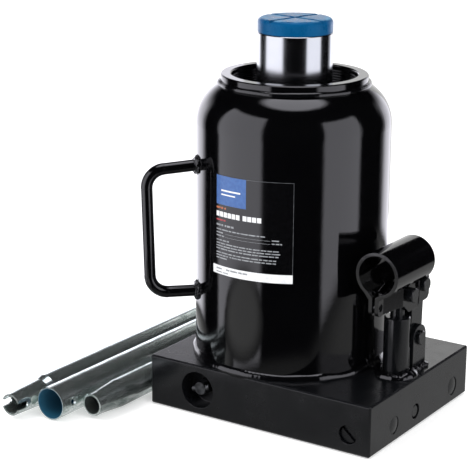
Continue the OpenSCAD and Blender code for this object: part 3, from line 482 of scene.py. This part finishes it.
print_bars("label_colour_block", [(LEFT, -85.8, 169.0, 191.0)], INK_BLUE, 0.03)
print_bars("label_block_bars", [(LEFT + 4.0, -89.5, 179.4, 180.6), (LEFT + 4.0, -93.0, 176.4, 177.4)],
           INK_WHITE, 0.06)
print_bars("label_small_heading", word_row(RNG, LEFT, -98.0, 165.8, 167.2), INK_ORANGE, 0.03)
print_bars("label_title", letter_row(LEFT, [2.5] * 6 + [-1.6] + [2.5] * 4, 0.5, 159.8, 163.6), INK_WHITE, 0.03)
print_bars("label_sub_heading", word_row(RNG, LEFT, -100.0, 156.6, 157.8), INK_RED, 0.03)
small_print = word_row(RNG, LEFT, -94.0, 152.6, 154.0)
for row, (z, stop) in enumerate(SMALL_ROWS):
    if row in RULED_ROWS:
        small_print += word_row(RNG, LEFT, -101.0, z, z + PRINT_H) + [(-100.0, -71.0, z, z + RULE_H)]
        small_print += word_row(RNG, -70.0, stop, z, z + PRINT_H)
    else:
        small_print += word_row(RNG, LEFT, stop, z, z + PRINT_H)
print_bars("label_small_print", small_print, INK_GREY, 0.03)
print_bars("label_frame_line", [(-85.6, -57.9, 190.9, 191.2), (-58.1, -57.9, 122.0, 191.2)], INK_DARK, 0.03)
print_bars("label_foot_band", [(-110.3, -57.9, 115.2, 121.8)], INK_WHITE, 0.03)
foot_print = word_row(RNG, LEFT, -101.5, 118.9, 120.0) + word_row(RNG, -99.5, -84.5, 118.9, 120.2)
foot_print += word_row(RNG, LEFT, -97.5, 116.4, 117.3)
print_bars("label_foot_print", foot_print, INK_GREY, 0.06)


# ---------- stage ----------

def only_in_reflections(obj):
    """Hides a stage piece from everything but glossy reflections."""
    obj.visible_glossy = True
    obj.visible_camera = obj.visible_diffuse = obj.visible_transmission = False
    obj.visible_volume_scatter = obj.visible_shadow = False


def stage_mesh(name, shape, material):
    """Turns a bmesh into an object for the stage."""
    mesh = bpy.data.meshes.new(name)
    shape.to_mesh(mesh)
    shape.free()
    mesh.materials.append(material)
    obj = bpy.data.objects.new(name, mesh)
    bpy.context.scene.collection.objects.link(obj)
    return obj


def band(tree, value, centre, half, soft):
    """1 inside centre +- half, falling to 0 over soft."""
    away = add(tree, "ShaderNodeMath", {"operation": "SUBTRACT"}, in_0=value, in_1=centre)
    size = add(tree, "ShaderNodeMath", {"operation": "ABSOLUTE"}, in_0=away.outputs["Value"])
    return add(tree, "ShaderNodeMapRange", {"interpolation_type": "SMOOTHSTEP"}, Value=size.outputs["Value"],
               From_Min=half - soft, From_Max=half + soft, To_Min=1.0, To_Max=0.0).outputs["Result"]


def glow(name):
    """A material with only its output and an Emission shader."""
    material = bpy.data.materials.new(name)
    material.use_nodes = True
    tree = material.node_tree
    tree.nodes.clear()
    emission = tree.nodes.new("ShaderNodeEmission")
    output = tree.nodes.new("ShaderNodeOutputMaterial")
    tree.links.new(emission.outputs["Emission"], output.inputs["Surface"])
    return material, tree, emission


# softboxes and bright walls that only the reflections see:
# (azimuth, half width, soft edge, top, soft top edge, brightness); all reach down to the nadir
WALLS = [
    (-125, 30, 3, 42, 3, 2.3),
    (1, 24, 3, 34, 3, 2.1),
    (122, 50, 8, 17, 10, 2.6),
]
# the softbox overhead, its half width and soft edge, and how bright the dark studio is between them all
OVERHEAD_HALF, OVERHEAD_SOFT, OVERHEAD_GLOW = math.radians(21), math.radians(4), 3.6
DARK_STUDIO = 0.004
studio, tree, emission = glow("studio_reflections")
emission.inputs["Color"].default_value = srgb("#f3f2fb")
where = add(tree, "ShaderNodeTexCoord").outputs["Object"]
unit = add(tree, "ShaderNodeVectorMath", {"operation": "NORMALIZE"}, in_0=where)
split = add(tree, "ShaderNodeSeparateXYZ", Vector=unit.outputs["Vector"])
elevation = add(tree, "ShaderNodeMath", {"operation": "ARCSINE"}, in_0=split.outputs["Z"]).outputs["Value"]
overhead = band(tree, elevation, math.pi / 2, OVERHEAD_HALF, OVERHEAD_SOFT)
total = add(tree, "ShaderNodeMath", {"operation": "MULTIPLY_ADD"}, in_0=overhead, in_1=OVERHEAD_GLOW,
            in_2=DARK_STUDIO)
for azimuth, half, soft, top, top_soft, bright in WALLS:
    turned = add(tree, "ShaderNodeVectorRotate", {"rotation_type": "Z_AXIS"}, Vector=unit.outputs["Vector"],
                 Angle=-math.radians(azimuth))
    local = add(tree, "ShaderNodeSeparateXYZ", Vector=turned.outputs["Vector"])
    angle = add(tree, "ShaderNodeMath", {"operation": "ARCTAN2"}, in_0=local.outputs["Y"], in_1=local.outputs["X"])
    across = band(tree, angle.outputs["Value"], 0.0, math.radians(half), math.radians(soft))
    upright = add(tree, "ShaderNodeMapRange", {"interpolation_type": "SMOOTHSTEP"}, Value=elevation,
                  From_Min=math.radians(top - top_soft), From_Max=math.radians(top + top_soft),
                  To_Min=1.0, To_Max=0.0)
    lit = add(tree, "ShaderNodeMath", {"operation": "MULTIPLY"}, in_0=across, in_1=upright.outputs["Result"])
    total = add(tree, "ShaderNodeMath", {"operation": "MULTIPLY_ADD"}, in_0=lit.outputs["Value"], in_1=bright,
                in_2=total.outputs["Value"])
tree.links.new(total.outputs["Value"], emission.inputs["Strength"])
shape = bmesh.new()
bmesh.ops.create_icosphere(shape, subdivisions=4, radius=6.0)
bmesh.ops.reverse_faces(shape, faces=shape.faces)
only_in_reflections(stage_mesh("studio_dome", shape, studio))

# the pale floor as the reflections see it, in pools, and clear between them:
# (centre, full to, gone by, brightness)
POOLS = [
    ((0.17, 0.17, 0), 0.20, 0.38, 0.45),
    ((0.05, -0.05, 0), 0.13, 0.20, 0.22),
    ((-0.13, 0.03, 0), 0.05, 0.16, 0.85),
    ((-0.14, -0.13, 0), 0.03, 0.08, 0.6),
    ((-0.12, -0.31, 0), 0.08, 0.15, 0.75),
]
near_floor, tree, emission = glow("near_floor_reflections")
where = add(tree, "ShaderNodeTexCoord").outputs["Object"]
total = 0.0
for centre, full, gone, bright in POOLS:
    reach = add(tree, "ShaderNodeVectorMath", {"operation": "DISTANCE"}, in_0=where, in_1=centre)
    pool = add(tree, "ShaderNodeMapRange", {"interpolation_type": "SMOOTHSTEP"}, Value=reach.outputs["Value"],
               From_Min=full, From_Max=gone, To_Min=bright, To_Max=0.0)
    total = add(tree, "ShaderNodeMath", {"operation": "MAXIMUM"}, in_0=pool.outputs["Result"],
                in_1=total).outputs["Value"]
clear = add(tree, "ShaderNodeBsdfTransparent")
cover = add(tree, "ShaderNodeMapRange", Value=total, From_Min=0.0, From_Max=0.15)
bright_floor = add(tree, "ShaderNodeMixShader", Fac=cover.outputs["Result"], in_1=clear.outputs["BSDF"],
                   in_2=emission.outputs["Emission"])
tree.links.new(total, emission.inputs["Strength"])
tree.links.new(bright_floor.outputs["Shader"], tree.nodes["Material Output"].inputs["Surface"])
shape = bmesh.new()
bmesh.ops.create_circle(shape, cap_ends=True, segments=64, radius=0.65)
bmesh.ops.translate(shape, verts=shape.verts, vec=(0, 0, -0.0004))
only_in_reflections(stage_mesh("near_floor_glow", shape, near_floor))

# a card that stands behind the loose tubes and lays the light stripe along their tops
CARD_WIDTH, CARD_HEIGHT = 0.38, 0.42
CARD_AT = (-0.22, 0.56, CARD_HEIGHT / 2)
card_paint, tree, emission = glow("reflector_card")
emission.inputs["Strength"].default_value = 1.2
shape = bmesh.new()
bmesh.ops.create_grid(shape, x_segments=1, y_segments=1, size=0.5)
bmesh.ops.scale(shape, verts=shape.verts, vec=(CARD_WIDTH, CARD_HEIGHT, 1))
bmesh.ops.rotate(shape, verts=shape.verts, cent=(0, 0, 0), matrix=Matrix.Rotation(math.pi / 2, 3, "X"))
bmesh.ops.translate(shape, verts=shape.verts, vec=CARD_AT)
only_in_reflections(stage_mesh("card_behind_the_tubes", shape, card_paint))

floor_paint, tree, shader = new_material("pale_floor")
shader.inputs["Base Color"].default_value = srgb("#f4f4f4")
shader.inputs["Roughness"].default_value = 0.9
shader.inputs["Emission Color"].default_value = (1, 1, 1, 1)
shader.inputs["Emission Strength"].default_value = 0.35
shape = bmesh.new()
bmesh.ops.create_grid(shape, x_segments=1, y_segments=1, size=20)
bmesh.ops.translate(shape, verts=shape.verts, vec=(0, 0, -0.0008))
floor = stage_mesh("floor", shape, floor_paint)
floor.visible_glossy = False

world = bpy.data.worlds.new("studio")
bpy.context.scene.world = world
world.use_nodes = True
background = world.node_tree.nodes["Background"]
background.inputs["Color"].default_value = (1, 1, 1, 1)
background.inputs["Strength"].default_value = 1.0
world.cycles_visibility.glossy = False


def softbox(name, where, aim, size, power):
    """An area light that softens the diffuse light, and is not itself reflected."""
    light = bpy.data.lights.new(name, "AREA")
    light.shape = "RECTANGLE"
    light.size, light.size_y = size
    light.energy = power
    obj = bpy.data.objects.new(name, light)
    obj.location = where
    obj.rotation_mode = "QUATERNION"
    obj.rotation_quaternion = (Vector(where) - Vector(aim)).to_track_quat("Z", "Y")
    obj.visible_glossy = False
    bpy.context.scene.collection.objects.link(obj)


softbox("key_light", (-1.2, -1.6, 2.2), (0, 0, 0.1), (1.4, 1.4), 30)
softbox("fill_light", (1.8, -0.6, 1.8), (0, 0, 0.1), (1.4, 1.4), 14)

bpy.context.scene.view_settings.view_transform = "Standard"

CAMERA_AT = (0.6235, -1.02674, 0.47517)
CAMERA_PAN, CAMERA_TILT, CAMERA_ROLL = (math.radians(angle) for angle in (33.45, 74.0, 0.34))
camera_data = bpy.data.cameras.new("camera")
camera_data.lens = 123.67
camera_data.sensor_width = 36.0
camera_data.shift_x = 0.0047
camera_data.clip_start, camera_data.clip_end = 0.05, 50
camera = bpy.data.objects.new("camera", camera_data)
camera.matrix_world = (Matrix.Translation(CAMERA_AT) @ Matrix.Rotation(CAMERA_PAN, 4, "Z")
                       @ Matrix.Rotation(CAMERA_TILT, 4, "X") @ Matrix.Rotation(CAMERA_ROLL, 4, "Z"))
bpy.context.scene.collection.objects.link(camera)
bpy.context.scene.camera = camera
